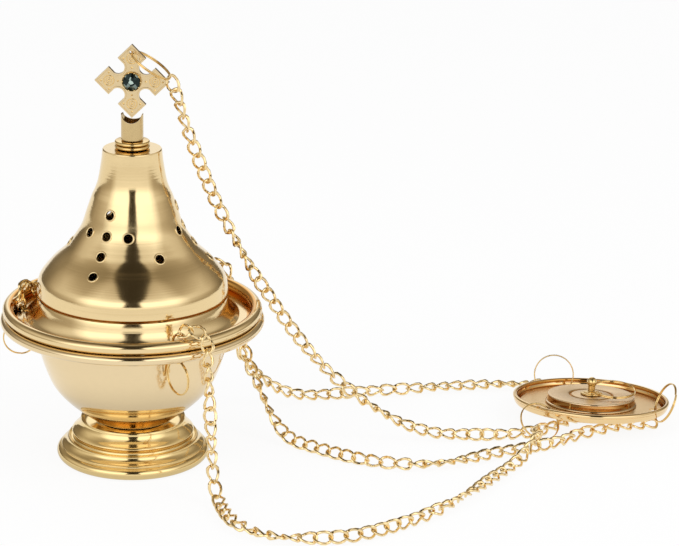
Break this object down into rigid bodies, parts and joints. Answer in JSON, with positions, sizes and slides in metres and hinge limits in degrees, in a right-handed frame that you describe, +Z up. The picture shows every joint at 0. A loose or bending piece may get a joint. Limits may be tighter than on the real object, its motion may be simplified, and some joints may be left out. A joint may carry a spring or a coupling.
{
  "type": "hanging incense burner",
  "caption": "Footed brass incense burner with a vented bell lid and cross, and slack curb chains to a small round hand plate with a lifting disc.",
  "frame": {"origin": "centre of the foot's flat underside, on the surface that the burner stands on", "axes": "+Z up along the burner's axis, +X towards the hand plate that lies beside it, -Y towards the viewer"},
  "size_m": [0.3517, 0.2079, 0.2138],
  "materials": {
    "plated_brass": "bright gold plating on cross, collar, chains, rings and hand plate",
    "spun_brass": "polished over fine spinning lines",
    "pale_brass": "mirror polished, paler, on bowl and foot",
    "satin_brass": "satin, turned",
    "pan_steel": "pressed sheet, dulled by heat",
    "screw_steel": "plain turned fasteners",
    "stone": "cut and polished dark blue-green paste stone"
  },
  "bodies": {
    "burner": {"foot": "pale_brass", "foot_bottom_disc": "pale_brass", "bowl": "pale_brass", "foot_screw": "screw_steel", "foot_washer": "screw_steel", "foot_nut": "screw_steel", "chain_end_front": "plated_brass", "chain_end_back": "plated_brass", "chain_end_left": "plated_brass", "chain_front": "plated_brass", "chain_back": "plated_brass", "chain_left": "plated_brass", "chain_centre": "plated_brass"},
    "lid": {"lid": "spun_brass", "collar_lower": "plated_brass", "collar_upper": "plated_brass", "post": "plated_brass", "lid_washer": "screw_steel", "lid_nut": "screw_steel", "cross": "plated_brass", "bezel": "plated_brass", "gem": "stone", "chain_front_lid": "plated_brass", "chain_back_lid": "plated_brass", "chain_left_lid": "plated_brass", "chain_centre_lid": "plated_brass"},
    "pan": {"charcoal_pan": "pan_steel"},
    "cross_ring": {"cross_ring": "plated_brass"},
    "stop_ring_front": {"stop_ring_front": "plated_brass"},
    "stop_ring_back": {"stop_ring_back": "plated_brass"},
    "stop_ring_left": {"stop_ring_left": "plated_brass"},
    "plate": {"suspension_plate": "plated_brass"},
    "plate_ring_back": {"plate_ring_back": "plated_brass"},
    "plate_ring_front": {"plate_ring_front": "plated_brass"},
    "plate_ring_right": {"plate_ring_right": "plated_brass"},
    "pull_disc": {"pull_disc": "satin_brass", "pull_knob": "plated_brass", "pull_eye": "plated_brass"},
    "hanging_ring": {"hanging_ring": "plated_brass"}
  },
  "joints": [
    {"name": "lid_lift", "type": "slide", "parent": "burner", "child": "lid", "axis": [0, 0, 1], "range_m": [0, 0.06]},
    {"name": "pan_lift", "type": "slide", "parent": "burner", "child": "pan", "axis": [0, 0, 1], "range_m": [0, 0.03]},
    {"name": "plate_lift", "type": "slide", "parent": "burner", "child": "plate", "axis": [0, 0, 1], "range_m": [0, 0.06]},
    {"name": "pull_disc_lift", "type": "slide", "parent": "plate", "child": "pull_disc", "axis": [0.0279, 0.1132, 0.9932], "range_m": [0, 0.02]},
    {"name": "cross_ring_swing", "type": "hinge", "parent": "lid", "child": "cross_ring", "pos_m": [0, 0, 0.20974], "axis": [-0.1392, -0.9903, 0], "range_deg": [0, 35]},
    {"name": "stop_ring_front_swing", "type": "hinge", "parent": "burner", "child": "stop_ring_front", "pos_m": [0.022, -0.05258, 0.06905], "axis": [0.5693, -0.8221, 0], "range_deg": [-70, 24]},
    {"name": "stop_ring_back_swing", "type": "hinge", "parent": "burner", "child": "stop_ring_back", "pos_m": [0.03454, 0.04534, 0.06905], "axis": [0.4274, 0.9041, 0], "range_deg": [-70, 24]},
    {"name": "stop_ring_left_swing", "type": "hinge", "parent": "burner", "child": "stop_ring_left", "pos_m": [-0.05654, 0.00724, 0.06905], "axis": [-0.9966, -0.0819, 0], "range_deg": [-70, 24]},
    {"name": "plate_ring_back_swing", "type": "hinge", "parent": "plate", "child": "plate_ring_back", "pos_m": [0.23653, 0.08052, 0.00366], "axis": [0.7173, 0.1188, 0.6866], "range_deg": [-12, 5]},
    {"name": "plate_ring_front_swing", "type": "hinge", "parent": "plate", "child": "plate_ring_front", "pos_m": [0.22057, 0.02139, 0.01085], "axis": [-0.456, 0.5888, 0.6673], "range_deg": [-8, 10]},
    {"name": "plate_ring_right_swing", "type": "hinge", "parent": "plate", "child": "plate_ring_right", "pos_m": [0.27642, 0.03557, 0.00766], "axis": [0.1857, 0.7517, 0.6328], "range_deg": [-16, 16]},
    {"name": "hanging_ring_swing", "type": "hinge", "parent": "pull_disc", "child": "hanging_ring", "pos_m": [0.24396, 0.04784, 0.01579], "axis": [0.0731, 0.9968, 0.0332], "range_deg": [-165, 0]}
  ]
}
